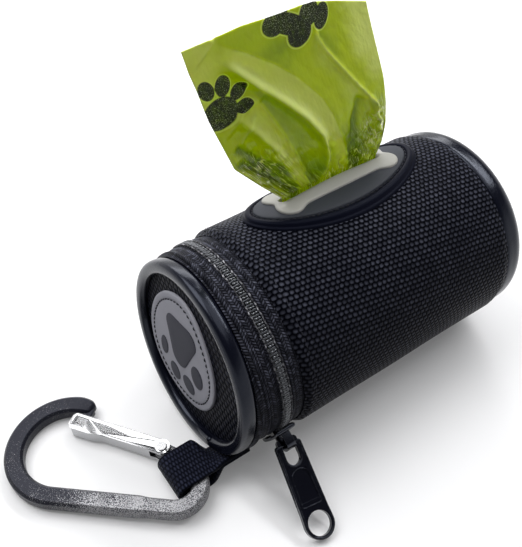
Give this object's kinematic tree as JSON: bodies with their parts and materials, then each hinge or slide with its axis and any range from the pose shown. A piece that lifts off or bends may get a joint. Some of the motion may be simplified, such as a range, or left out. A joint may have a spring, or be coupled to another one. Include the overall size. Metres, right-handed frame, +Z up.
{
  "type": "dog waste bag dispenser",
  "caption": "Soft zipped tube that stores a roll of dog waste bags, feeds them out of a bone-framed slot and hangs from a small carabiner.",
  "frame": {"origin": "middle of the flat strip that the sleeve rests on", "axes": "+X along the tube from the zipped lid to the closed end, +Z up, so the lid and the carabiner are at -X and the pull hangs at -Y"},
  "size_m": [0.1538, 0.0831, 0.113],
  "materials": {
    "woven_nylon": "basket weave, matt",
    "foam": "closed-cell foam",
    "lining": "plain thin lining",
    "vinyl_piping": "smooth sheen",
    "board": "plain stiffening board",
    "rubber_black": "satin",
    "rubber_slate": "satin",
    "rubber_grey": "satin",
    "zip_tape": "woven tape",
    "zip_coil": "moulded nylon",
    "black_zinc": "black lacquer",
    "patch_grey": "matt, speckled",
    "patch_dark": "matt",
    "webbing": "flat woven webbing",
    "black_aluminium": "black anodised, worn at the edges",
    "silver_aluminium": "polished",
    "steel": "bright",
    "card": "pressed card",
    "bag_film": "thin crinkled film"
  },
  "bodies": {
    "pouch": {"sleeve": "woven_nylon", "foam_wall": "foam", "lining_tube": "lining", "end_piping": "vinyl_piping", "end_panel": "woven_nylon", "end_board": "board", "end_lining": "lining", "port_rim": "rubber_black", "port_plate": "rubber_slate", "port_bone": "rubber_grey", "body_zip_tape": "zip_tape", "body_zip_coil": "zip_coil", "zip_stops": "black_zinc", "fabric_hinge": "lining"},
    "lid": {"lid_piping": "vinyl_piping", "lid_panel": "woven_nylon", "lid_board": "board", "lid_lining": "lining", "lid_gusset": "woven_nylon", "lid_zip_tape": "zip_tape", "lid_zip_coil": "zip_coil", "paw_patch": "patch_grey", "paw_pads": "patch_dark"},
    "loop": {"webbing_loop": "webbing"},
    "carabiner": {"carabiner_body": "black_aluminium", "gate_pin": "steel", "nose_pin": "steel", "gate_spring": "steel"},
    "gate": {"carabiner_gate": "silver_aluminium"},
    "slider": {"zip_slider": "black_zinc", "slider_bridge": "black_zinc"},
    "pull": {"zip_pull": "black_zinc"},
    "roll": {"roll_core": "card", "roll_film": "bag_film"},
    "bag": {"bag_film": "bag_film"}
  },
  "joints": [
    {"name": "lid_hinge", "type": "hinge", "parent": "pouch", "child": "lid", "pos_m": [-0.0425, -0.0106, 0.00315], "axis": [0, -0.9272, 0.3746], "range_deg": [0, 105], "deforming": ["fabric_hinge", "lid_zip_tape"]},
    {"name": "zip_travel", "type": "hinge", "parent": "pouch", "child": "slider", "pos_m": [-0.0425, 0, 0.02939], "axis": [-1, 0, 0], "range_deg": [0, 280], "deforming": ["body_zip_coil", "lid_zip_coil"]},
    {"name": "pull_swing", "type": "hinge", "parent": "slider", "child": "pull", "pos_m": [-0.0425, -0.02906, 0.01394], "axis": [1, 0, 0], "range_deg": [-95, 60]},
    {"name": "loop_swing", "type": "hinge", "parent": "lid", "child": "loop", "pos_m": [-0.0575, -0.01751, 0.00565], "axis": [0, 0.8049, -0.5934], "range_deg": [-60, 30], "deforming": ["webbing_loop"]},
    {"name": "carabiner_swing", "type": "hinge", "parent": "loop", "child": "carabiner", "pos_m": [-0.0665, -0.016, 0.0041], "axis": [0, 1, 0], "range_deg": [-60, 15]},
    {"name": "gate_hinge", "type": "hinge", "parent": "carabiner", "child": "gate", "pos_m": [-0.06949, -0.00652, 0.00381], "axis": [-0.0202, 0.0283, 0.9994], "range_deg": [0, 28], "stiffness_Nm_per_rad": 0.02, "springref_deg": -17.19, "deforming": ["gate_spring"]},
    {"name": "roll_spin", "type": "hinge", "parent": "pouch", "child": "roll", "pos_m": [0, -0.00639, 0.02157], "axis": [1, 0, 0], "range_deg": [0, 106]},
    {"name": "bag_pull", "type": "slide", "parent": "pouch", "child": "bag", "axis": [0, 0, 1], "range_m": [0, 0.03]}
  ],
  "couplings": [
    {"joint": "bag_pull", "follows": "roll_spin", "m_per_rad": 0.0162}
  ]
}
